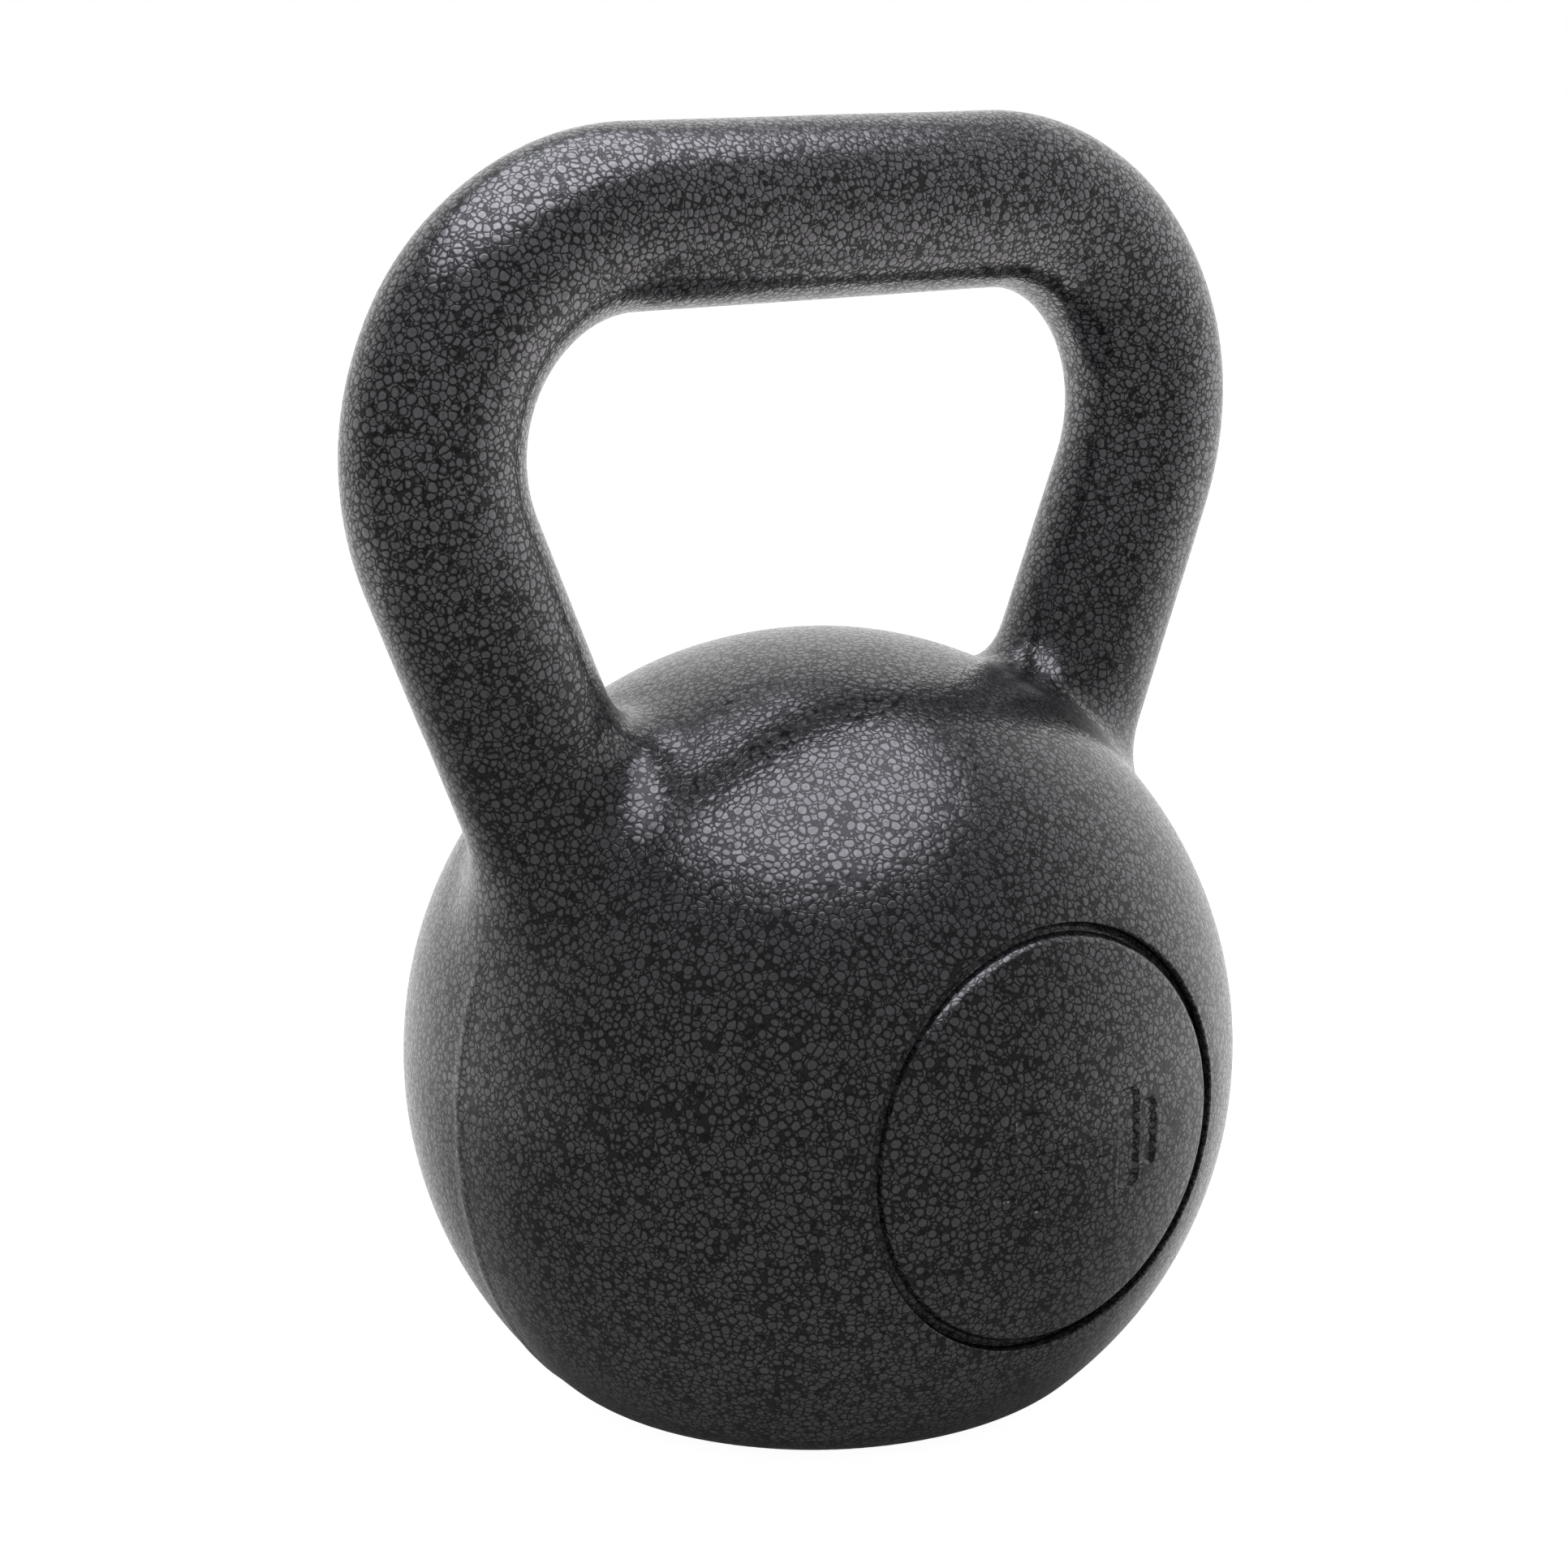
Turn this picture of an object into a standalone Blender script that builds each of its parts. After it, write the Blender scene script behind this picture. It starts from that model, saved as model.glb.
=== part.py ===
"""Cast-iron kettlebell of about 16 kg: ball, handle, horn collars and disc plates.

Metres, +Z up. X runs along the grip, the marked disc faces -Y, and the origin is the centre
of the flat base. Run with: blender --background --python part.py
"""

import math

import bmesh
import bpy
from mathutils import Vector

# Ball: an ellipsoid, a little shallower from front to back, standing on a flat.
BALL_HALF_WIDTH = 0.0790
BALL_HALF_DEPTH = 0.0769
BALL_HALF_HEIGHT = 0.0793
BALL_CENTRE_Z = 0.0629
BASE_EDGE = 0.035  # rounding of the flat's edge, as a share of the ball's radius

# Handle: one bar of oval section, bent into two corners and two leaning horns.
GRIP_AXIS_Z = 0.2193
GRIP_HALF_THICKNESS = 0.0163
GRIP_DEPTH_RATIO = 0.875  # front-to-back thickness over the thickness in the handle's plane
HORN_GROWTH = 1.03  # thickness of a horn's foot over the grip's
CORNER_HALF_SPAN = 0.0992  # from the middle to where the horn's axis line meets the grip's
CORNER_RADIUS = 0.0400
HORN_LEAN = math.radians(22.24)
HORN_SEAT = 0.0140  # how far a horn's foot sits below the ball's surface

# Collar: the dressed fillet bead where a horn's foot meets the ball.
COLLAR_BEAD = 0.0065

# Disc plates in the ball's front and rear.
POCKET_RADIUS = 0.0390
POCKET_FLOOR = 0.0605  # from the ball's middle plane
FACE_RADIUS = 0.0364
SHOULDER = 0.0006  # run of the step from the sunken rim up to the face
RIM_DROP = 0.0010  # how far the rim lies below the ball's own curve
FACE_DROP = 0.0003

GAP = 0.0003  # between pieces that seat on each other

BALL_STEPS = 64
DISC_STEPS = 56
CORNER_STEPS = 10
COLLAR_STEPS = 40

BALL_CENTRE = Vector((0.0, 0.0, BALL_CENTRE_Z))


def clear_scene():
    for old in list(bpy.data.objects):
        bpy.data.objects.remove(old, do_unlink=True)


def new_collection(name):
    made = bpy.data.collections.new(name)
    bpy.context.scene.collection.children.link(made)
    return made


def paint(name, colour, roughness):
    """Paint on iron: a dielectric coat, so nothing metallic shows."""
    material = bpy.data.materials.new(name)
    material.use_nodes = True
    shader = material.node_tree.nodes["Principled BSDF"]
    shader.inputs["Base Color"].default_value = (*colour, 1.0)
    shader.inputs["Roughness"].default_value = roughness
    shader.inputs["Metallic"].default_value = 0.0
    return material


def add_object(name, data, collection, material=None):
    made = bpy.data.objects.new(name, data)
    collection.objects.link(made)
    if material:
        data.materials.append(material)
    return made


def as_cutter(body):
    body.hide_render = True
    body.display_type = "WIRE"
    return body


def cut(body, cutter):
    boolean = body.modifiers.new("cut_" + cutter.name, "BOOLEAN")
    boolean.operation = "DIFFERENCE"
    boolean.solver = "EXACT"
    boolean.object = cutter


def round_shading(mesh):
    mesh.shade_smooth()
    mesh.set_sharp_from_angle(angle=math.radians(35))


def turned(name, profile, steps, collection, material=None):
    """A solid turned about its own Z axis, from a profile listed from top to bottom."""
    mesh = bpy.data.meshes.new(name)
    edges = [(i, i + 1) for i in range(len(profile) - 1)]
    mesh.from_pydata([(r, 0.0, z) for r, z in profile], edges, [])
    made = add_object(name, mesh, collection, material)
    screw = made.modifiers.new("turn", "SCREW")
    screw.axis = "Z"
    screw.angle = math.tau
    screw.steps = steps
    screw.render_steps = steps
    screw.use_merge_vertices = True
    screw.merge_threshold = 0.00001
    screw.use_smooth_shade = True
    return made


def solid_from(source, collection, name):
    """The evaluated shape of an object as a closed mesh of its own; the source is removed."""
    graph = bpy.context.evaluated_depsgraph_get()
    mesh = bpy.data.meshes.new_from_object(source.evaluated_get(graph))
    mesh.transform(source.matrix_world)
    edit = bmesh.new()
    edit.from_mesh(mesh)
    bmesh.ops.remove_doubles(edit, verts=edit.verts, dist=0.00001)
    bmesh.ops.recalc_face_normals(edit, faces=edit.faces)
    edit.to_mesh(mesh)
    edit.free()
    bpy.data.objects.remove(source, do_unlink=True)
    mesh.name = name
    round_shading(mesh)
    return add_object(name, mesh, collection)


def ball_profile(grow):
    """Half outline of the ball, worked out on a unit circle and stretched to size."""
    flat = -(BALL_CENTRE_Z + grow) / (BALL_HALF_HEIGHT + grow)
    edge_up = flat + BASE_EDGE
    edge_out = math.sqrt((1.0 - BASE_EDGE) ** 2 - edge_up**2)
    last = math.atan2(edge_out, edge_up)
    points = []
    for i in range(27):
        turn = last * i / 26
        points.append((math.sin(turn), math.cos(turn)))
    for i in range(1, 4):
        turn = last + (math.pi - last) * i / 3
        points.append((edge_out + BASE_EDGE * math.sin(turn), edge_up + BASE_EDGE * math.cos(turn)))
    points.append((0.0, flat))
    width = BALL_HALF_WIDTH + grow
    height = BALL_HALF_HEIGHT + grow
    return [(r * width, z * height) for r, z in points]


def ball_solid(name, grow, collection):
    body = turned(name, ball_profile(grow), BALL_STEPS, collection)
    body.location = BALL_CENTRE
    body.scale.y = (BALL_HALF_DEPTH + grow) / (BALL_HALF_WIDTH + grow)
    bpy.context.view_layer.update()
    return solid_from(body, collection, name)


def horn_frame(side):
    """The horn's direction upwards, and its cross direction in the handle's plane."""
    along = Vector((side * math.sin(HORN_LEAN), 0.0, math.cos(HORN_LEAN)))
    across = Vector((side * math.cos(HORN_LEAN), 0.0, -math.sin(HORN_LEAN)))
    return along, across


def on_ball(start, along):
    """Where a line leaves the ball, going upwards."""
    sizes = (BALL_HALF_WIDTH, BALL_HALF_DEPTH, BALL_HALF_HEIGHT)
    origin = Vector([v / s for v, s in zip(start - BALL_CENTRE, sizes)])
    step = Vector([v / s for v, s in zip(along, sizes)])
    half = origin.dot(step)
    spread = math.sqrt(half**2 - step.dot(step) * (origin.dot(origin) - 1.0))
    return start + along * ((spread - half) / step.dot(step))


def corner_point(side):
    return Vector((side * CORNER_HALF_SPAN, 0.0, GRIP_AXIS_Z))


def handle_path(extra):
    """Centreline from the left foot over the grip to the right foot, with its corners as arcs."""
    along, _ = horn_frame(1)
    foot = on_ball(corner_point(1) - along * CORNER_HALF_SPAN, along) - along * (HORN_SEAT + extra)
    turn = math.pi / 2 + HORN_LEAN
    middle_x = CORNER_HALF_SPAN - CORNER_RADIUS * math.tan(turn / 2)
    half = []
    for i in range(CORNER_STEPS + 1):
        angle = turn * i / CORNER_STEPS
        x = middle_x + CORNER_RADIUS * math.sin(angle)
        z = GRIP_AXIS_Z - CORNER_RADIUS * (1.0 - math.cos(angle))
        half.append(Vector((x, 0.0, z)))
    half.append((half[-1] + foot) / 2)
    half.append(foot)
    left = [Vector((-p.x, 0.0, p.z)) for p in reversed(half)]
    return left + half


def handle_solid(name, grow, collection):
    path = handle_path(grow)
    curve = bpy.data.curves.new(name, "CURVE")
    curve.dimensions = "3D"
    curve.bevel_depth = GRIP_HALF_THICKNESS + grow
    curve.bevel_resolution = 10
    curve.use_fill_caps = True
    line = curve.splines.new("POLY")
    line.points.add(len(path) - 1)
    top = GRIP_AXIS_Z - CORNER_RADIUS
    bottom = path[0].z
    for point, place in zip(line.points, path):
        point.co = (*place, 1.0)
        down = min(max((top - place.z) / (top - bottom), 0.0), 1.0)
        point.radius = 1.0 + (HORN_GROWTH - 1.0) * down
    body = add_object(name, curve, collection)
    depth = GRIP_HALF_THICKNESS * GRIP_DEPTH_RATIO + grow
    body.scale.y = depth / (GRIP_HALF_THICKNESS + grow)
    bpy.context.view_layer.update()
    return solid_from(body, collection, name)


def collar_path(side):
    """The closed line where a horn's skin meets the ball."""
    along, across = horn_frame(side)
    start = corner_point(side) - along * CORNER_HALF_SPAN
    thickness = GRIP_HALF_THICKNESS * HORN_GROWTH
    depth = Vector((0.0, thickness * GRIP_DEPTH_RATIO, 0.0))
    points = []
    for i in range(COLLAR_STEPS):
        angle = math.tau * i / COLLAR_STEPS
        skin = start + across * thickness * math.cos(angle) + depth * math.sin(angle)
        points.append(on_ball(skin, along))
    return points


def collar_solid(name, side, collection):
    curve = bpy.data.curves.new(name, "CURVE")
    curve.dimensions = "3D"
    curve.bevel_depth = COLLAR_BEAD
    curve.bevel_resolution = 4
    line = curve.splines.new("POLY")
    path = collar_path(side)
    line.points.add(len(path) - 1)
    for point, place in zip(line.points, path):
        point.co = (*place, 1.0)
    line.use_cyclic_u = True
    body = add_object(name, curve, collection)
    bpy.context.view_layer.update()
    return solid_from(body, collection, name)


def ball_curve(radius):
    """How far the ball's front lies from its middle plane, at a radius from the disc's centre."""
    return BALL_HALF_DEPTH * math.sqrt(1.0 - (radius / BALL_HALF_WIDTH) ** 2)


def disc_profile():
    """Domed face, shoulder, sunken rim, edge and flat back."""
    edge = POCKET_RADIUS - GAP
    foot = FACE_RADIUS + SHOULDER
    points = [(FACE_RADIUS * i / 8, ball_curve(FACE_RADIUS * i / 8) - FACE_DROP) for i in range(9)]
    points.append((foot, ball_curve(foot) - RIM_DROP))
    points.append((edge, ball_curve(edge) - RIM_DROP))
    points.append((edge, POCKET_FLOOR + GAP))
    points.append((0.0, POCKET_FLOOR + GAP))
    return points


def disc_plate(name, facing, collection, material):
    plate = turned(name, disc_profile(), DISC_STEPS, collection, material)
    plate.location = BALL_CENTRE
    plate.rotation_euler.x = -facing * math.pi / 2
    return plate


def pocket_cutter(name, facing, collection):
    """A cylinder from the pocket's floor out through the ball's skin."""
    length = BALL_HALF_DEPTH
    bpy.ops.mesh.primitive_cylinder_add(vertices=DISC_STEPS, radius=POCKET_RADIUS, depth=length)
    cutter = bpy.context.active_object
    cutter.name = name
    for holder in list(cutter.users_collection):
        holder.objects.unlink(cutter)
    collection.objects.link(cutter)
    cutter.rotation_euler.x = math.pi / 2
    cutter.location = BALL_CENTRE + Vector((0.0, facing * (POCKET_FLOOR + length / 2), 0.0))
    return as_cutter(cutter)


def main():
    clear_scene()
    parts = new_collection("kettlebell")
    cutters = new_collection("cutters")

    ball = ball_solid("ball", 0.0, parts)
    ball.data.materials.append(paint("ball_hammertone", (0.050, 0.050, 0.054), 0.38))
    handle = handle_solid("handle", 0.0, parts)
    handle.data.materials.append(paint("handle_hammertone", (0.052, 0.052, 0.056), 0.38))

    seat = as_cutter(handle_solid("handle_clearance", GAP, cutters))
    ball_room = as_cutter(ball_solid("ball_clearance", GAP, cutters))
    cut(ball, seat)

    for name, facing in (("front", -1), ("rear", 1)):
        cut(ball, pocket_cutter(name + "_pocket", facing, cutters))
        coat = paint(name + "_disc_hammertone", (0.048, 0.048, 0.052), 0.40)
        disc_plate(name + "_disc", facing, parts, coat)

    for name, side in (("left", -1), ("right", 1)):
        collar = collar_solid(name + "_horn_collar", side, parts)
        collar.data.materials.append(paint(name + "_collar_hammertone", (0.046, 0.046, 0.050), 0.40))
        cut(collar, ball_room)
        cut(collar, seat)


main()
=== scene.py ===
import math

import bmesh
import bpy
import numpy as np
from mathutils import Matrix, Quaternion, Vector


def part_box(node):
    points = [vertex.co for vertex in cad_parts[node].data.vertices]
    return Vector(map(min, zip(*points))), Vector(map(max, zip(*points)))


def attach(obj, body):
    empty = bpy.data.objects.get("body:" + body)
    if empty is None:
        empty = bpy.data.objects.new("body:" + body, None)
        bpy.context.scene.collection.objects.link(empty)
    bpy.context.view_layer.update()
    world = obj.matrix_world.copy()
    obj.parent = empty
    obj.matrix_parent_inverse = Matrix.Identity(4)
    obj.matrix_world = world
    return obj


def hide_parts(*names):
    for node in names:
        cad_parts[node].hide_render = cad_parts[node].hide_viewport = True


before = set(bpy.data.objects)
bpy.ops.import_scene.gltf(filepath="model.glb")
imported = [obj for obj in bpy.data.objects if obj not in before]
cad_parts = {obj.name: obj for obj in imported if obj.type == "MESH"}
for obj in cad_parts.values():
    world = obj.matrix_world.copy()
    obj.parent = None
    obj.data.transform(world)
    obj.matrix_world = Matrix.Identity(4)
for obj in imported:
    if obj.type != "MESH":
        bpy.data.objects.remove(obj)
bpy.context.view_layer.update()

MM = 0.001

# ---------------------------------------------------------------------------------------
# The casting's sizes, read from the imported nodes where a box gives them.

BALL_LOW, BALL_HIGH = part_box("ball")
PLATE_LOW, PLATE_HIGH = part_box("front_disc")
HANDLE_LOW, HANDLE_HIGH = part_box("handle")

BALL_CENTRE = np.array([0.0, 0.0, (PLATE_LOW.z + PLATE_HIGH.z) / 2])
FACE_DROP = 0.3 * MM  # how far a disc's face lies below the ball's own curve
BALL_HALVES = np.array([BALL_HIGH.x, -PLATE_LOW.y + FACE_DROP, BALL_HIGH.z - BALL_CENTRE[2]])
BASE_EDGE = 5.0 * MM  # how far the rounding of the base's edge reaches

GRIP_HALF = 16.3 * MM  # half thickness of the bar in the handle's plane
GRIP_DEPTH_RATIO = 0.875  # front-to-back thickness over that
HORN_GROWTH = 1.03  # thickness at the foot over that of the grip
GRIP_Z = HANDLE_HIGH.z - GRIP_HALF
CORNER_RADIUS = 40.0 * MM
CORNER_X = HANDLE_HIGH.x - GRIP_HALF - CORNER_RADIUS  # where the straight grip ends
HORN_LEAN = math.radians(22.24)
CORNER_TURN = math.pi / 2 + HORN_LEAN
CORNER_Z = GRIP_Z - CORNER_RADIUS
FOOT_BLEND = 12.0 * MM  # reach of the fillet between horn and ball

HORN_UP = np.array([math.sin(HORN_LEAN), 0.0, math.cos(HORN_LEAN)])  # right-hand horn
HORN_ACROSS = np.array([math.cos(HORN_LEAN), 0.0, -math.sin(HORN_LEAN)])
HORN_TOP = np.array([CORNER_X, 0.0, CORNER_Z]) + HORN_ACROSS * CORNER_RADIUS
FRONT_BACK = np.array([0.0, 1.0, 0.0])

POCKET_RADIUS = PLATE_HIGH.x - 0.4 * MM  # the lip, a little closed over the pocket by the paint
POCKET_FLOOR = -PLATE_HIGH.y - 0.3 * MM
LIP_ROUND = 0.6 * MM
LIP_SOFTENING = 0.16 * MM
LIP_REACH = 2.6 * MM
# Where the rings round a pocket lie, in mm out from its wall: close together over the rolled lip.
LIP_STEPS = (0.0, 0.02, 0.06, 0.12, 0.2, 0.3, 0.42, 0.58, 0.8, 1.1, 1.5, 2.0, 2.6, 3.4, 4.4, 5.6, 6.9, 8.2)

SEAM_HEIGHT = 0.22 * MM  # the ridge that the two mould halves leave
SEAM_WIDTH = 1.3 * MM
SEAM_DRIFT = 8.0 * MM  # how far back it has wandered at the base
SEAM_DRIFT_HEIGHT = 53.0 * MM  # over this height below the ball's middle
SEAM_TOP = BALL_CENTRE[2] + 36.0 * MM  # it fades out here, under the horns
SEAM_FADE = 14.0 * MM

WAVE_HEIGHT = 0.035 * MM  # of the skin's slight unevenness


# ---------------------------------------------------------------------------------------
# One field describes the whole casting: negative in the iron, zero on its skin.


def soft_least(a, b, reach):
    """The smaller of two distances, with the corner between them filled over a reach."""
    near = np.maximum(reach - np.abs(a - b), 0.0) / reach
    return np.minimum(a, b) - near**2 * reach / 4


def soft_most(a, b, reach):
    return -soft_least(-a, -b, reach)


def oval_gap(offsets, halves):
    """About how far a point lies outside an ellipsoid or an oval, given offsets from its middle."""
    shape = np.sqrt(((offsets / halves) ** 2).sum(axis=-1)) + 1e-12
    slope = np.sqrt(((offsets / halves**2) ** 2).sum(axis=-1)) + 1e-12
    return shape * (shape - 1.0) / slope


def bar_gap(points):
    """How far a point lies outside the bent bar; the left half mirrors the right."""
    x = np.abs(points[..., 0])
    y = points[..., 1]
    z = points[..., 2]
    grip = np.hypot(np.maximum(x - CORNER_X, 0.0), z - GRIP_Z)
    turn = np.arctan2(x - CORNER_X, z - CORNER_Z)
    on_corner = np.clip(turn, 0.0, CORNER_TURN)
    corner = np.hypot(
        x - CORNER_X - CORNER_RADIUS * np.sin(on_corner),
        z - CORNER_Z - CORNER_RADIUS * np.cos(on_corner),
    )
    down = -((x - HORN_TOP[0]) * HORN_UP[0] + (z - HORN_TOP[2]) * HORN_UP[2])
    down = np.maximum(down, 0.0)
    horn = np.hypot(x - HORN_TOP[0] + down * HORN_UP[0], z - HORN_TOP[2] + down * HORN_UP[2])
    off_line = np.minimum(np.minimum(grip, corner), horn)
    lowered = np.clip((CORNER_Z - z) / (CORNER_Z - HANDLE_LOW.z), 0.0, 1.0)
    half = GRIP_HALF * (1.0 + (HORN_GROWTH - 1.0) * lowered)
    return oval_gap(
        np.stack([off_line, y], axis=-1),
        np.stack([half, half * GRIP_DEPTH_RATIO], axis=-1),
    )


def casting_waves(points):
    """The slight unevenness of a sand-cast skin, some tens of millimetres long.

    It only sinks the skin, so that the casting stays within its size.
    """
    x, y, z = (points[..., i] / MM for i in range(3))
    wave = np.sin(x / 7.1 + 1.3 * np.sin(z / 11.0)) * np.sin(y / 8.3 + 0.7)
    wave += np.sin(z / 6.2 + 0.9 * np.sin(y / 9.0)) * np.sin(x / 9.7 + 2.1)
    return (wave - 2.0) * WAVE_HEIGHT


def seam_ridge(points):
    """The parting line round the ball, over the horns' plane, drifting back towards the base."""
    below = np.clip((BALL_CENTRE[2] - points[..., 2]) / SEAM_DRIFT_HEIGHT, 0.0, 1.2)
    seam_y = SEAM_DRIFT * below**2
    ridge = np.exp(-(((points[..., 1] - seam_y) / SEAM_WIDTH) ** 2))
    under_horn = np.clip((SEAM_TOP - points[..., 2]) / SEAM_FADE, 0.0, 1.0)
    return SEAM_HEIGHT * ridge * under_horn


def lip_fall(points):
    """How much the skin rolls down into the disc pockets at their edge."""
    out = np.hypot(points[..., 0], points[..., 2] - BALL_CENTRE[2]) - POCKET_RADIUS
    out = np.maximum(out, 0.0)
    roll = LIP_ROUND - np.sqrt(LIP_ROUND**2 - np.maximum(LIP_ROUND - out, 0.0) ** 2)
    soft = LIP_SOFTENING * np.exp(-((out / LIP_REACH) ** 2))
    return (roll + soft) * (np.abs(points[..., 1]) > 0.5 * POCKET_FLOOR)


def skin_gap(points):
    ball = oval_gap(points - BALL_CENTRE, BALL_HALVES)
    body = soft_least(ball, bar_gap(points), FOOT_BLEND)
    body = body - casting_waves(points) - seam_ridge(points) + lip_fall(points)
    return soft_most(body, -points[..., 2], BASE_EDGE)


def reach_skin(start, way, furthest):
    """The points where rays from inside the iron come out through the skin."""
    low = np.zeros(way.shape[:-1])
    high = np.zeros(way.shape[:-1]) + furthest
    for _ in range(30):
        middle = (low + high) / 2
        inside = skin_gap(start + way * middle[..., None]) < 0.0
        low = np.where(inside, middle, low)
        high = np.where(inside, high, middle)
    return start + way * high[..., None]


def skin_normals(points):
    step = 0.02 * MM
    slope = np.zeros_like(points)
    for axis in range(3):
        shift = np.zeros(3)
        shift[axis] = step
        slope[..., axis] = skin_gap(points + shift) - skin_gap(points - shift)
    return slope / (np.linalg.norm(slope, axis=-1, keepdims=True) + 1e-20)


# ---------------------------------------------------------------------------------------
# Meshes from rings of points.


def unit(vectors):
    return vectors / np.linalg.norm(vectors, axis=-1, keepdims=True)


def ring_mesh(name, rings):
    """A closed mesh from rings of equal count, first and last closed by a flat cap."""
    count, around = rings.shape[:2]
    here = np.arange(around)
    ahead = (here + 1) % around
    faces = []
    for i in range(count - 1):
        a = i * around
        b = a + around
        faces += np.stack([a + here, a + ahead, b + ahead, b + here], axis=1).tolist()
    faces.append(here[::-1].tolist())
    faces.append(((count - 1) * around + here).tolist())
    mesh = bpy.data.meshes.new(name)
    mesh.from_pydata(rings.reshape(-1, 3).tolist(), [], faces)
    return mesh


def outward(mesh):
    """Turns every face to look out of the closed body."""
    edit = bmesh.new()
    edit.from_mesh(mesh)
    bmesh.ops.recalc_face_normals(edit, faces=edit.faces)
    edit.to_mesh(mesh)
    edit.free()


def shade_as_cast(mesh):
    """Smooth shading with the field's own normals, so that neighbouring pieces shade as one.

    Faces that don't lie on the casting's skin, such as hidden seats, keep their own.
    """
    places = np.empty(len(mesh.vertices) * 3)
    mesh.vertices.foreach_get("co", places)
    places = places.reshape(-1, 3)
    smooth = skin_normals(places)
    on_skin = np.abs(skin_gap(places)) < 0.01 * MM
    corners = np.empty(len(mesh.loops), dtype=np.int64)
    mesh.loops.foreach_get("vertex_index", corners)
    totals = np.empty(len(mesh.polygons), dtype=np.int64)
    mesh.polygons.foreach_get("loop_total", totals)
    flat = np.empty(len(mesh.polygons) * 3)
    mesh.polygons.foreach_get("normal", flat)
    flat = np.repeat(flat.reshape(-1, 3), totals, axis=0)
    agree = (smooth[corners] * flat).sum(axis=1) > 0.5
    cast = on_skin[corners] & agree
    mesh.shade_smooth()
    mesh.normals_split_custom_set(np.where(cast[:, None], smooth[corners], flat).tolist())


def add_piece(name, mesh, slot, *nodes):
    piece = bpy.data.objects.new(name, mesh)
    bpy.context.scene.collection.objects.link(piece)
    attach(piece, "root")
    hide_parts(*nodes)
    return piece


# ---------------------------------------------------------------------------------------
# The seat between a horn's foot and the ball: a flat circle cut across the ball, and a flat
# oval cut across the horn. Each visible piece ends on one of these, so the pieces meet flush.

SEAT_RADIUS = 32.0 * MM
COLLAR_HEIGHT = 23.0 * MM  # up the horn from where its axis leaves the ball
HEART_DEPTH = 20.0 * MM  # down from there to the point that a collar's rings are reached from
AROUND_HORN = 120
HANDLE_RINGS = 231
COLLAR_RINGS = 44
AROUND_BALL = 368
BALL_RINGS = 112  # between the two pockets' lips


def horn_foot():
    """Where the right horn's axis leaves the ball."""
    start = (HORN_TOP - BALL_CENTRE) / BALL_HALVES
    step = -HORN_UP / BALL_HALVES
    a = step @ step
    b = start @ step
    c = start @ start - 1.0
    return HORN_TOP - HORN_UP * (-b - math.sqrt(b * b - a * c)) / a


FOOT = horn_foot()
SEAT_NORMAL = unit((FOOT - BALL_CENTRE) / BALL_HALVES**2)
SEAT_DEPTH = float(np.linalg.norm(FOOT - BALL_CENTRE))
SEAT_MIDDLE = BALL_CENTRE + unit(FOOT - BALL_CENTRE) * math.sqrt(SEAT_DEPTH**2 - SEAT_RADIUS**2)
SEAT_ACROSS = np.array([SEAT_NORMAL[2], 0.0, -SEAT_NORMAL[0]])
COLLAR_TOP = FOOT + HORN_UP * COLLAR_HEIGHT


def handle_line(count):
    """Points along the bar's middle from collar to collar, with the direction along it."""
    horn = float((HORN_TOP - COLLAR_TOP) @ HORN_UP)
    corner = CORNER_RADIUS * CORNER_TURN
    half = horn + corner + CORNER_X
    far = np.linspace(-half, half, count)
    gone = half - np.abs(far)
    side = np.sign(far)
    turned = np.clip((half - gone - CORNER_X) / CORNER_RADIUS, 0.0, CORNER_TURN)
    x = CORNER_X + CORNER_RADIUS * np.sin(turned)
    z = CORNER_Z + CORNER_RADIUS * np.cos(turned)
    on_grip = half - gone < CORNER_X
    x = np.where(on_grip, half - gone, x)
    left = np.maximum(horn - gone, 0.0)
    x = x - left * HORN_UP[0]
    z = z - left * HORN_UP[2]
    line = np.stack([side * x, np.zeros(count), z], axis=1)
    out = np.stack([side * np.sin(turned), np.zeros(count), np.cos(turned)], axis=1)
    return line, out


def make_handle():
    """The bar: oval sections a millimetre and a bit apart, each reached from its middle."""
    line, out = handle_line(HANDLE_RINGS)
    angles = np.linspace(0.0, math.tau, AROUND_HORN, endpoint=False)
    in_plane = np.cos(angles)[None, :, None] * out[:, None, :]
    to_back = GRIP_DEPTH_RATIO * np.sin(angles)[None, :, None] * FRONT_BACK
    rings = reach_skin(line[:, None, :], unit(in_plane + to_back), 30.0 * MM)
    mesh = ring_mesh("handle_bar", rings)
    outward(mesh)
    shade_as_cast(mesh)
    return add_piece("handle_bar", mesh, "handle_paint", "handle")


def mirrored(points, side):
    return points * np.array([side, 1.0, 1.0])


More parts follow.
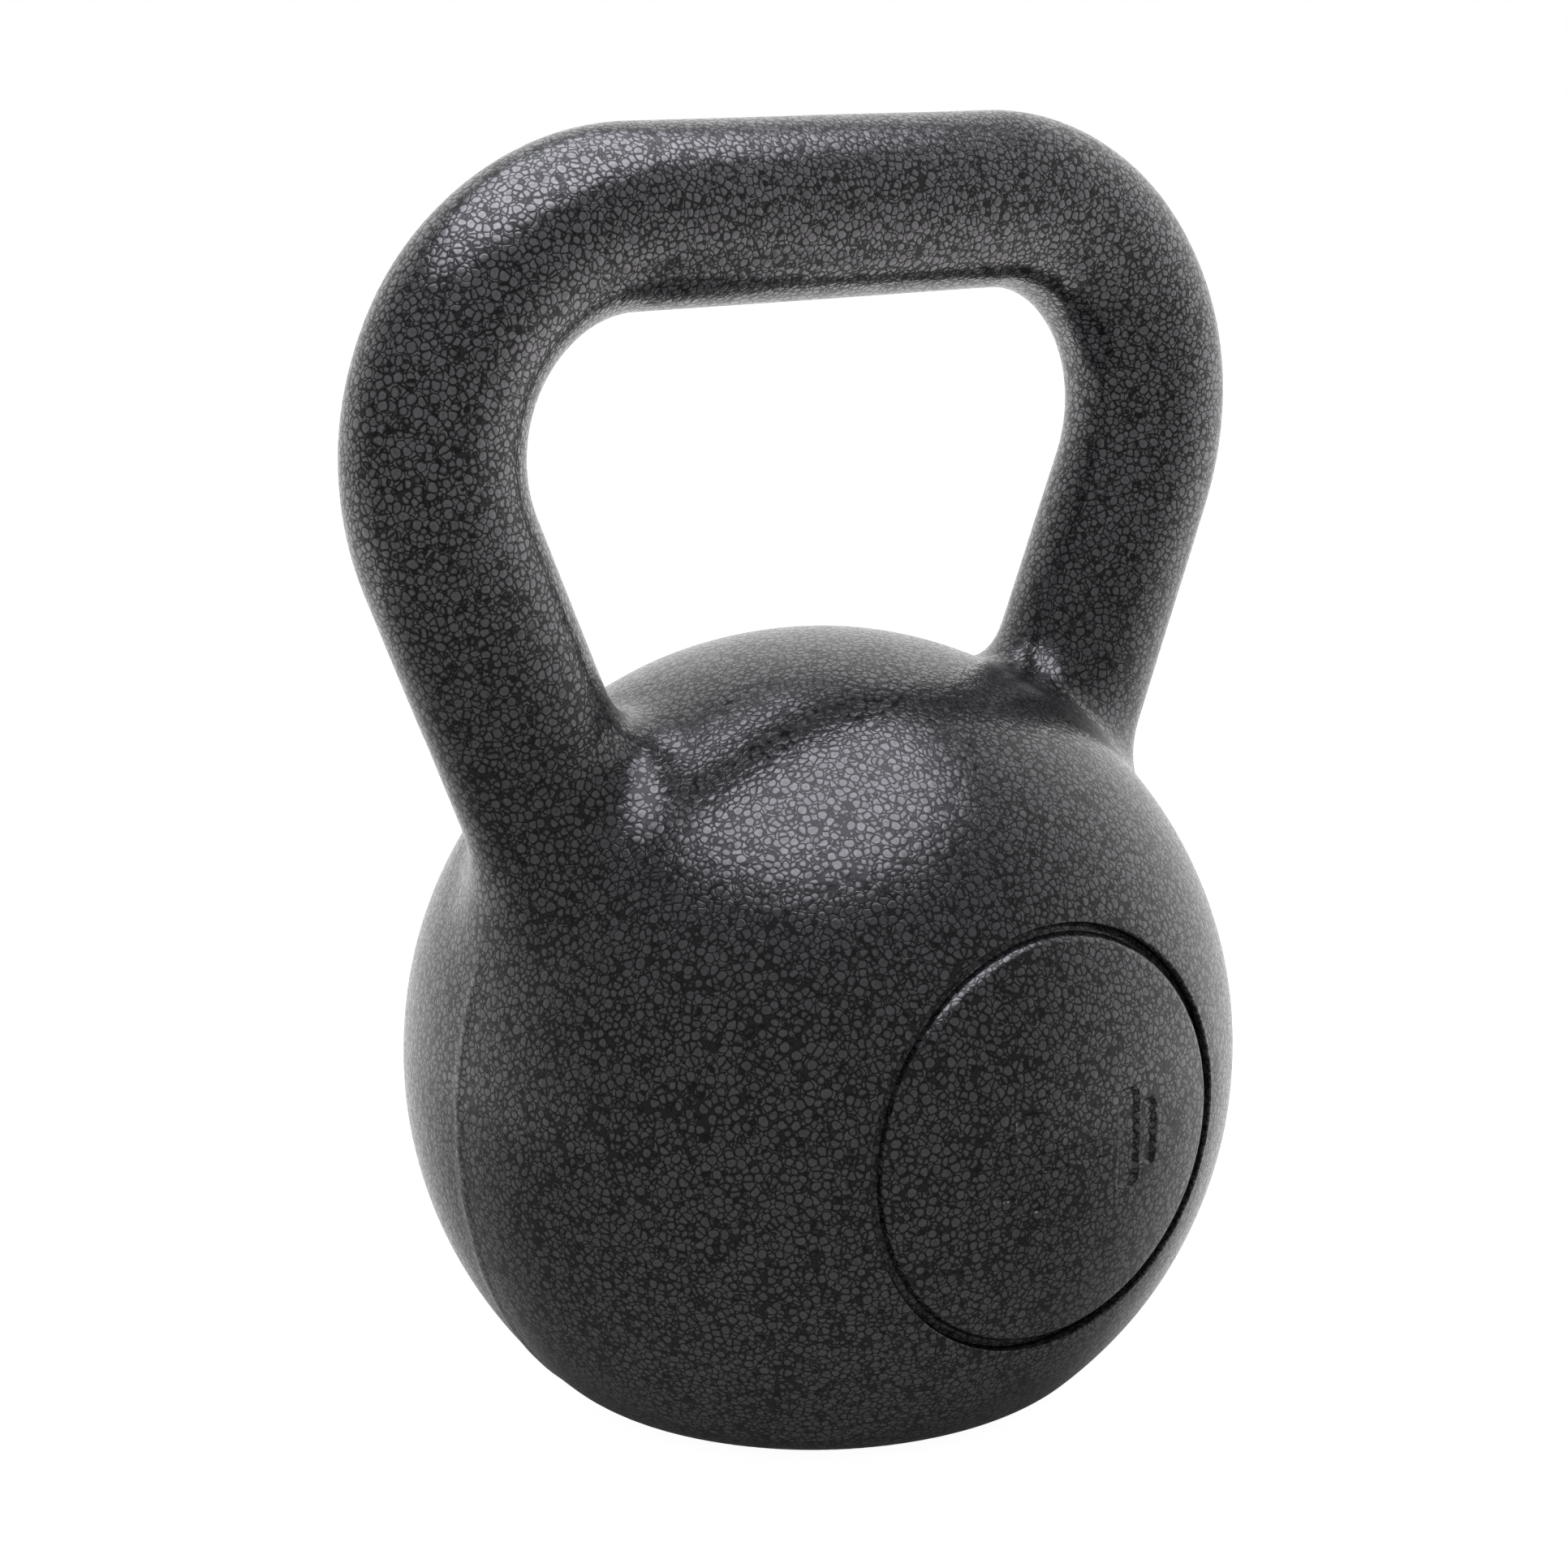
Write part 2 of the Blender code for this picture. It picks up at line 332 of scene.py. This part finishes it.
def make_collar(name, side, node):
    """The filleted foot of a horn, from the cut across the horn down to the seat on the ball."""
    angles = np.linspace(0.0, math.tau, AROUND_HORN, endpoint=False)[:, None]
    in_horn = unit(np.cos(angles) * HORN_ACROSS + GRIP_DEPTH_RATIO * np.sin(angles) * FRONT_BACK)
    top = reach_skin(COLLAR_TOP, in_horn, 30.0 * MM)
    in_seat = np.cos(angles) * SEAT_ACROSS + np.sin(angles) * FRONT_BACK
    bottom = reach_skin(SEAT_MIDDLE, in_seat, 45.0 * MM)
    heart = FOOT - HORN_UP * HEART_DEPTH
    steps = np.linspace(0.0, 1.0, COLLAR_RINGS)[:, None, None]
    turning = unit(top - heart) * (1.0 - steps) + unit(bottom - heart) * steps
    rings = reach_skin(heart, unit(turning), 70.0 * MM)
    rings[0] = top
    rings[-1] = bottom
    mesh = ring_mesh(name, mirrored(rings, side))
    outward(mesh)
    shade_as_cast(mesh)
    return add_piece(name, mesh, "collar_paint", node)


def lip_rings(facing, angles):
    """Rings round a disc pocket: its wall, its rounded lip and the skin just outside."""
    radii = (POCKET_RADIUS + np.array(LIP_STEPS) * MM)[:, None]
    x = radii * np.cos(angles)
    z = radii * np.sin(angles)
    start = np.stack([x, np.zeros_like(x), z], axis=-1) + BALL_CENTRE
    way = np.zeros_like(start)
    way[..., 1] = facing
    skin = reach_skin(start, way, 90.0 * MM)
    wall = np.repeat(skin[:1], 2, axis=0)
    wall[0, :, 1] = facing * POCKET_FLOOR
    wall[1, :, 1] = (skin[0, :, 1] + facing * POCKET_FLOOR) / 2
    return np.concatenate([wall, skin])


def make_ball():
    """The ball, ring by ring from the front pocket to the rear one, then cut for the horns."""
    angles = np.linspace(0.0, math.tau, AROUND_BALL, endpoint=False)[None, :]
    front = lip_rings(-1, angles)
    rear = lip_rings(1, angles)
    steps = np.linspace(0.0, 1.0, BALL_RINGS + 2)[1:-1, None]
    first = np.arctan2(np.hypot(front[-1, :, 0], front[-1, :, 2] - BALL_CENTRE[2]), -front[-1, :, 1])
    last = np.arctan2(np.hypot(rear[-1, :, 0], rear[-1, :, 2] - BALL_CENTRE[2]), -rear[-1, :, 1])
    tilt = first + (last - first) * steps
    way = np.stack([np.sin(tilt) * np.cos(angles), -np.cos(tilt), np.sin(tilt) * np.sin(angles)], axis=-1)
    middle = reach_skin(BALL_CENTRE, way, 92.0 * MM)
    mesh = ring_mesh("ball_body", np.concatenate([front, middle, rear[::-1]]))
    edit = bmesh.new()
    edit.from_mesh(mesh)
    for side in (-1.0, 1.0):
        everything = edit.verts[:] + edit.edges[:] + edit.faces[:]
        made = bmesh.ops.bisect_plane(
            edit,
            geom=everything,
            plane_co=mirrored(SEAT_MIDDLE, side),
            plane_no=mirrored(SEAT_NORMAL, side),
            clear_outer=True,
        )
        rim = [part for part in made["geom_cut"] if isinstance(part, bmesh.types.BMEdge)]
        bmesh.ops.holes_fill(edit, edges=rim, sides=0)
    bmesh.ops.recalc_face_normals(edit, faces=edit.faces)
    edit.to_mesh(mesh)
    edit.free()
    shade_as_cast(mesh)
    return add_piece("ball_body", mesh, "ball_paint", "ball")


# ---------------------------------------------------------------------------------------
# The disc plates.

FACE_RADIUS = 36.4 * MM
SHOULDER = 1.5 * MM  # radius of the rolled edge of the face
RIM_DROP = 1.9 * MM  # depth of the sunken rim outside it
RIM_STEPS = (0.06, 0.14, 0.24, 0.4, 0.7, 1.2)  # where its rings lie, in mm out from the face
PLATE_EDGE = POCKET_RADIUS - 0.3 * MM
AROUND_PLATE = 400
FACE_RINGS = 100
ROLL_RINGS = 12
MARK_DEPTH = 0.8 * MM


def smooth_step(values):
    held = np.clip(values, 0.0, 1.0)
    return held * held * (3.0 - 2.0 * held)


def box_outline(x, z, middle_x, half_x, half_z, round_corner):
    """Distance to the outline of a rounded rectangle."""
    dx = np.abs(x - middle_x) - half_x + round_corner
    dz = np.abs(z) - half_z + round_corner
    outside = np.hypot(np.maximum(dx, 0.0), np.maximum(dz, 0.0))
    return outside + np.minimum(np.maximum(dx, dz), 0.0) - round_corner


def dumbbell_mark(x, z):
    """Depth of a plain sunken dumbbell sign: a bar with two plates at each end."""
    x, z = x / MM, z / MM
    sign = box_outline(x, z, 0.0, 9.0, 1.6, 0.8)
    for side in (-1.0, 1.0):
        sign = np.minimum(sign, box_outline(x, z, side * 11.0, 2.4, 9.0, 1.2))
        sign = np.minimum(sign, box_outline(x, z, side * 16.2, 2.0, 6.0, 1.2))
    return MARK_DEPTH * (1.0 - smooth_step((sign + 0.3) / 0.6))


def plate_rings(marked):
    """A plate facing back, as rings from the middle of its face out and down to its seat."""
    angles = np.linspace(0.0, math.tau, AROUND_PLATE, endpoint=False)[None, :]
    rolled = FACE_RADIUS - 0.95 * SHOULDER
    face = np.linspace(0.4 * MM, rolled - 0.3 * MM, FACE_RINGS)
    roll = rolled + np.linspace(0.0, 0.95, ROLL_RINGS) * SHOULDER
    rim = FACE_RADIUS + np.array(RIM_STEPS) * MM
    radii = np.concatenate([face, roll, rim, [PLATE_EDGE]])[:, None]
    curve = BALL_HALVES[1] * np.sqrt(1.0 - (radii / BALL_HALVES[0]) ** 2)
    over = np.clip(radii - rolled, 0.0, 0.95 * SHOULDER)
    fall = SHOULDER - np.sqrt(SHOULDER**2 - over**2)
    fall = fall + (RIM_DROP - fall) * smooth_step((radii - FACE_RADIUS) / (0.2 * MM))
    height = curve - FACE_DROP - fall
    x = radii * np.cos(angles)
    z = radii * np.sin(angles)
    height = height - marked * dumbbell_mark(x, z)
    seat = np.full_like(height[-1:], POCKET_FLOOR + 0.3 * MM)
    height = np.concatenate([height, seat])
    x = np.concatenate([x, x[-1:]])
    z = np.concatenate([z, z[-1:]])
    return np.stack([x, height, z], axis=-1)


def make_plate(name, facing, node):
    rings = plate_rings(facing < 0) * np.array([1.0, facing, 1.0]) + BALL_CENTRE
    mesh = ring_mesh(name, rings)
    outward(mesh)
    mesh.shade_smooth()
    mesh.set_sharp_from_angle(angle=math.radians(50))
    return add_piece(name, mesh, "disc_paint", node)


# ---------------------------------------------------------------------------------------
# Finishes.


def colour(hex_code):
    """sRGB hex to the linear values that shaders use."""
    parts = [int(hex_code[i : i + 2], 16) / 255 for i in (1, 3, 5)]
    linear = [p / 12.92 if p <= 0.04045 else ((p + 0.055) / 1.055) ** 2.4 for p in parts]
    return (*linear, 1.0)


def node(tree, kind, inputs=(), out=0, **settings):
    """Adds a node with its settings, sets or links its inputs, and gives one of its outputs."""
    made = tree.nodes.new(kind)
    for name, value in settings.items():
        setattr(made, name, value)
    pairs = inputs.items() if isinstance(inputs, dict) else enumerate(inputs)
    for key, value in pairs:
        if isinstance(value, bpy.types.NodeSocket):
            tree.links.new(value, made.inputs[key])
        else:
            made.inputs[key].default_value = value
    return made.outputs[out] if len(made.outputs) else None


MATH = "ShaderNodeMath"
VECTOR_MATH = "ShaderNodeVectorMath"
NOISE = "ShaderNodeTexNoise"
VORONOI = "ShaderNodeTexVoronoi"
RANGE = "ShaderNodeMapRange"  # inputs: value, from, to, low, high
SMOOTH = {"interpolation_type": "SMOOTHSTEP"}

DARK_COAT = "#131216"
GREY_FLAKE = "#888588"

# The sprays that make the coat, biggest cells first: the cells' spacing in mm, their radius
# as a share of it, and how far their pattern is shifted. The last radius varies over the skin.
SPRAYS = ((2.0, 0.50, 0.0), (1.7, 0.51, 0.31), (1.4, None, 0.67))

WANDER_SIZE = 2.2 * MM
WANDER = 0.9 * MM
POOL_SIZE = 6.0 * MM  # spacing of the places where the coat runs thin
GRAIN_SIZE = 0.40 * MM  # clumps of flakes; single flakes are too fine to show
PEEL_SIZE = 2.6 * MM
PEEL_DEPTH = 0.11 * MM
DOME_HEIGHT = 0.030 * MM


def hammertone_paint(name):
    """Hammertone enamel sprayed on a sand casting.

    Silicone in the paint pulls it into rounded grey cells, one to two millimetres across,
    with thin dark furrows between them and dark pools where they leave a gap. Cells lie over
    smaller cells. It dries to a glossy skin, slightly domed over each cell.
    """
    material = bpy.data.materials.new(name)
    material.use_nodes = True
    tree = material.node_tree
    tree.nodes.clear()
    place = node(tree, "ShaderNodeTexCoord", out="Object")

    # The cells' places wander, so that they lean a little.
    drift = node(tree, NOISE, {"Vector": place, "Scale": 1 / WANDER_SIZE, "Detail": 1.0}, out="Color")
    drift = node(tree, VECTOR_MATH, (drift, (0.5, 0.5, 0.5)), operation="SUBTRACT")
    drift = node(tree, VECTOR_MATH, {0: drift, "Scale": WANDER}, operation="SCALE")
    at = node(tree, VECTOR_MATH, (place, drift), operation="ADD")

    # The coat is heavier on the handle, where the cells close up; on the ball some stand apart. Higher up the
    # flakes are also painted lighter, as painted light for the stronger light on the handle.
    height_up = node(tree, "ShaderNodeSeparateXYZ", (place,), out="Z")
    heavier = node(tree, RANGE, (height_up, 0.10, 0.17, 0.0, 0.10), **SMOOTH)
    painted_light_up_top = node(tree, RANGE, (height_up, 0.12, 0.19, 1.0, 1.5), **SMOOTH)
    packed = node(tree, NOISE, {"Vector": place, "Scale": 1 / POOL_SIZE, "Detail": 2.0})
    packed = node(tree, MATH, (packed, heavier), operation="ADD")
    packed = node(tree, RANGE, (packed, 0.36, 0.62, 0.40, 1.15), **SMOOTH)

    # Each spray of cells shows only where the one before it leaves a gap.
    grey = 0.0
    dome = 0.0
    gap = 1.0
    for spacing, radius, shift in SPRAYS:
        centre = node(tree, VECTOR_MATH, (at, (shift, shift, shift)), operation="ADD")
        lattice = {"Vector": centre, "Scale": 1 / (spacing * MM)}
        far = node(tree, VORONOI, lattice, feature="F1")
        shade = node(tree, "ShaderNodeSeparateColor", (far.node.outputs["Color"],))
        walls = node(tree, VORONOI, lattice, feature="DISTANCE_TO_EDGE")
        edge = node(tree, MATH, (far, packed if radius is None else radius), operation="SUBTRACT")
        inside = node(tree, RANGE, (edge, -0.16, -0.01, 1.0, 0.0), **SMOOTH)
        furrow = node(tree, RANGE, (walls, 0.02, 0.16, 0.0, 1.0), **SMOOTH)
        inside = node(tree, MATH, (inside, furrow), operation="MULTIPLY")
        shown = node(tree, MATH, (inside, gap), operation="MULTIPLY")
        paler = node(tree, RANGE, (far, 0.02, 0.36, 0.84, 1.02), **SMOOTH)
        shade = node(tree, RANGE, (shade, 0.0, 1.0, 0.90, 1.06), **SMOOTH)
        shade = node(tree, MATH, (paler, shade), operation="MULTIPLY")
        rise = node(tree, RANGE, (far, 0.0, 0.6, 1.0, 0.35), **SMOOTH)
        grey = node(tree, MATH, (shown, shade, grey), operation="MULTIPLY_ADD")
        dome = node(tree, MATH, (shown, rise, dome), operation="MULTIPLY_ADD")
        outside = node(tree, RANGE, (edge, -0.01, 0.06, 0.0, 1.0), **SMOOTH)
        gap = node(tree, MATH, (gap, outside), operation="MULTIPLY")

    # Painted shade: the flakes' grey is darkened in the sunken rims round the discs, where shade falls.
    sideways = tuple(-v for v in BALL_CENTRE)
    sideways = node(tree, VECTOR_MATH, (place, sideways), operation="ADD")
    sideways = node(tree, VECTOR_MATH, (sideways, (1.0, 0.0, 1.0)), operation="MULTIPLY")
    off_axis = node(tree, VECTOR_MATH, (sideways,), out="Value", operation="LENGTH")
    inner = node(tree, RANGE, (off_axis, FACE_RADIUS - 0.3 * MM, FACE_RADIUS + 0.2 * MM, 0.0, 1.0), **SMOOTH)
    outer = node(tree, RANGE, (off_axis, POCKET_RADIUS, POCKET_RADIUS + 0.4 * MM, 1.0, 0.0), **SMOOTH)
    rim = node(tree, MATH, (inner, outer), operation="MULTIPLY")
    painted_rim_shade = node(tree, RANGE, (rim, 0.0, 1.0, 1.0, 0.7))
    grey = node(tree, MATH, (grey, painted_rim_shade), operation="MULTIPLY")

    grain = node(tree, NOISE, {"Vector": place, "Scale": 1 / GRAIN_SIZE, "Detail": 1.0})
    grain = node(tree, RANGE, (grain, 0.3, 0.7, 0.84, 1.14), **SMOOTH)
    flake = node(tree, MATH, (gap, 0.10, grey), operation="MULTIPLY_ADD")
    flake = node(tree, MATH, (flake, grain), operation="MULTIPLY")
    # painted light: the flakes lighter up on the handle
    flake = node(tree, MATH, (flake, painted_light_up_top), operation="MULTIPLY")
    colours = {0: flake, 6: colour(DARK_COAT), 7: colour(GREY_FLAKE)}
    base = node(tree, "ShaderNodeMix", colours, out=2, data_type="RGBA", clamp_factor=False)

    # Relief: domed cells over orange peel. The furrows between the cells stay duller.
    peel = node(tree, NOISE, {"Vector": place, "Scale": 1 / PEEL_SIZE, "Detail": 2.0})
    peel = node(tree, MATH, (peel, PEEL_DEPTH), operation="MULTIPLY")
    relief = node(tree, MATH, (dome, DOME_HEIGHT, peel), operation="MULTIPLY_ADD")
    relief = node(tree, "ShaderNodeBump", {"Height": relief, "Strength": 1.0, "Distance": 1.0})
    filled = node(tree, MATH, (grey, gap), operation="ADD")
    dullness = node(tree, RANGE, (filled, 0.1, 0.8, 0.25, 0.12), **SMOOTH)
    metal = node(tree, RANGE, (grey, 0.0, 0.5, 0.0, 0.55), **SMOOTH)
    coat = {"Base Color": base, "Metallic": metal, "Roughness": dullness, "IOR": 1.6, "Normal": relief}
    shader = node(tree, "ShaderNodeBsdfPrincipled", coat)
    node(tree, "ShaderNodeOutputMaterial", {"Surface": shader})
    return material


# ---------------------------------------------------------------------------------------
# Floor, light and camera.

# Sizes here are in metres. A share is about a cosine: 1 towards the front of the room, -1 away.
FLOOR_RADIUS = 6.0
FLOOR_LIGHT = 0.95
GLOW_RADIUS = 0.30
GLOW_SHADED = (0.025, 0.12)  # how far out the casting shades the floor, and what light is left
GLOW_LIT = (0.085, 1.0)  # where the shade ends
SOFTBOX_RADIUS = 0.44
SOFTBOX_EVEN = 0.22  # radius of its evenly lit middle
SOFTBOX_PLACE = (-0.03, -0.04, 0.62)
SOFTBOX_LIGHT = {"gloss": 2.05, "fill": 0.80}
ROOM_FILL = 0.18
FLOOR_FILL = 0.34
WALL_LIGHT = 1.04
ROOM_FRONT = 0.15
FRONT = (-0.57, -0.69, 0.38)  # towards the dim front of the room
FRONT_ENDS = 0.55  # share at which the walls begin to grow lighter
WALLS_BEGIN = -0.80  # share at which they are fully lit


def studio_floor():
    """Pale paper lit from below, as on a light table, so that it stays even to its edge."""
    bpy.ops.mesh.primitive_circle_add(
        vertices=96, radius=FLOOR_RADIUS, fill_type="NGON", location=(0, 0, -0.2 * MM)
    )
    floor = bpy.context.active_object
    floor.name = "paper_floor"
    material = bpy.data.materials.new("pale_paper")
    material.use_nodes = True
    shader = material.node_tree.nodes["Principled BSDF"]
    shader.inputs["Base Color"].default_value = colour("#e6e6e6")
    shader.inputs["Roughness"].default_value = 0.9
    shader.inputs["Emission Color"].default_value = colour("#ffffff")
    shader.inputs["Emission Strength"].default_value = FLOOR_LIGHT
    material.cycles.emission_sampling = "NONE"
    floor.data.materials.append(material)
    floor.visible_glossy = False
    floor.visible_diffuse = False


def floor_glow():
    """What the gloss sees of the floor: shaded under the casting, lit further out."""
    bpy.ops.mesh.primitive_circle_add(
        vertices=64, radius=GLOW_RADIUS, fill_type="NGON", location=(0, 0, -0.1 * MM)
    )
    glow = bpy.context.active_object
    glow.name = "floor_glow"
    material = bpy.data.materials.new("lit_paper")
    material.use_nodes = True
    tree = material.node_tree
    tree.nodes.clear()
    place = node(tree, "ShaderNodeTexCoord", out="Object")
    way = node(tree, VECTOR_MATH, (place,), operation="NORMALIZE")
    share = node(tree, VECTOR_MATH, (way, FRONT), out="Value", operation="DOT_PRODUCT")
    walls = node(tree, RANGE, (share, FRONT_ENDS, WALLS_BEGIN, ROOM_FRONT, WALL_LIGHT), **SMOOTH)
    out = node(tree, VECTOR_MATH, (place,), out="Value", operation="LENGTH")
    fading = (out, GLOW_SHADED[0], GLOW_LIT[0], GLOW_SHADED[1], GLOW_LIT[1])
    lit = node(tree, RANGE, fading, **SMOOTH)
    strength = node(tree, MATH, (walls, lit), operation="MULTIPLY")
    light = node(tree, "ShaderNodeEmission", {"Strength": strength})
    node(tree, "ShaderNodeOutputMaterial", {"Surface": light})
    glow.data.materials.append(material)
    material.cycles.emission_sampling = "NONE"
    glow.visible_camera = False
    glow.visible_diffuse = False
    glow.visible_shadow = False


def studio_world():
    """A room with a fill, more of it from the floor, and for the gloss white walls behind."""
    world = bpy.data.worlds.new("studio")
    bpy.context.scene.world = world
    world.use_nodes = True
    tree = world.node_tree
    tree.nodes.clear()
    way = node(tree, "ShaderNodeTexCoord", out="Generated")
    share = node(tree, VECTOR_MATH, (way, FRONT), out="Value", operation="DOT_PRODUCT")
    walls = node(tree, RANGE, (share, FRONT_ENDS, WALLS_BEGIN, ROOM_FRONT, WALL_LIGHT), **SMOOTH)
    upward = node(tree, "ShaderNodeSeparateXYZ", (way,), out="Z")
    fill = node(tree, RANGE, (upward, -0.1, 0.5, FLOOR_FILL, ROOM_FILL), **SMOOTH)
    glossy = node(tree, "ShaderNodeLightPath", out="Is Glossy Ray")
    camera = glossy.node.outputs["Is Camera Ray"]
    strength = node(tree, "ShaderNodeMix", {0: glossy, 2: fill, 3: walls}, data_type="FLOAT")
    room = node(tree, "ShaderNodeBackground", {"Color": colour("#ffffff"), "Strength": strength})
    seen = node(tree, "ShaderNodeBackground", {"Color": colour("#ffffff"), "Strength": 1.0})
    both = node(tree, "ShaderNodeMixShader", (camera, room, seen))
    node(tree, "ShaderNodeOutputWorld", {"Surface": both})


def softbox(share):
    """A round softbox hung flat over the casting, brightest in its middle.

    Its reflection and its fill are two discs in one place, so that each has its own strength.
    """
    bpy.ops.mesh.primitive_circle_add(
        vertices=64, radius=SOFTBOX_RADIUS, fill_type="NGON", location=SOFTBOX_PLACE, rotation=(math.pi, 0, 0)
    )
    box = bpy.context.active_object
    box.name = f"softbox_{share}"
    material = bpy.data.materials.new(f"softbox_cloth_{share}")
    material.use_nodes = True
    tree = material.node_tree
    tree.nodes.clear()
    place = node(tree, "ShaderNodeTexCoord", out="Object")
    out = node(tree, VECTOR_MATH, (place,), out="Value", operation="LENGTH")
    falling = (out, SOFTBOX_EVEN, SOFTBOX_RADIUS, SOFTBOX_LIGHT[share], 0.0)
    strength = node(tree, RANGE, falling, **SMOOTH)
    light = node(tree, "ShaderNodeEmission", {"Color": colour("#f4f7ff"), "Strength": strength})
    node(tree, "ShaderNodeOutputMaterial", {"Surface": light})
    box.data.materials.append(material)
    box.visible_camera = False
    box.visible_glossy = share == "gloss"
    box.visible_diffuse = share == "fill"
    box.visible_shadow = False


CAMERA_PLACE = Vector((-346.45, -471.66, 253.24)) * MM
CAMERA_TARGET = Vector((-5.07, 3.64, 113.49)) * MM
CAMERA_ROLL = math.radians(-0.41)
CAMERA_LENS = 74.16  # mm on a 36 mm wide sensor


def make_camera():
    data = bpy.data.cameras.new("camera")
    data.lens = CAMERA_LENS
    data.sensor_width = 36.0
    data.clip_start = 0.01
    camera = bpy.data.objects.new("camera", data)
    bpy.context.scene.collection.objects.link(camera)
    camera.location = CAMERA_PLACE
    aim = (CAMERA_TARGET - CAMERA_PLACE).to_track_quat("-Z", "Y")
    camera.rotation_mode = "QUATERNION"
    camera.rotation_quaternion = aim @ Quaternion((0.0, 0.0, 1.0), CAMERA_ROLL)
    bpy.context.scene.camera = camera


def main():
    paint = hammertone_paint("hammertone_enamel")
    pieces = [
        make_ball(),
        make_handle(),
        make_collar("left_foot_collar", -1.0, "left_horn_collar"),
        make_collar("right_foot_collar", 1.0, "right_horn_collar"),
        make_plate("front_plate", -1.0, "front_disc"),
        make_plate("rear_plate", 1.0, "rear_disc"),
    ]
    for piece in pieces:
        piece.data.materials.append(paint)

    studio_floor()
    studio_world()
    floor_glow()
    for share in SOFTBOX_LIGHT:
        softbox(share)
    make_camera()
    bpy.context.scene.view_settings.view_transform = "Standard"


main()
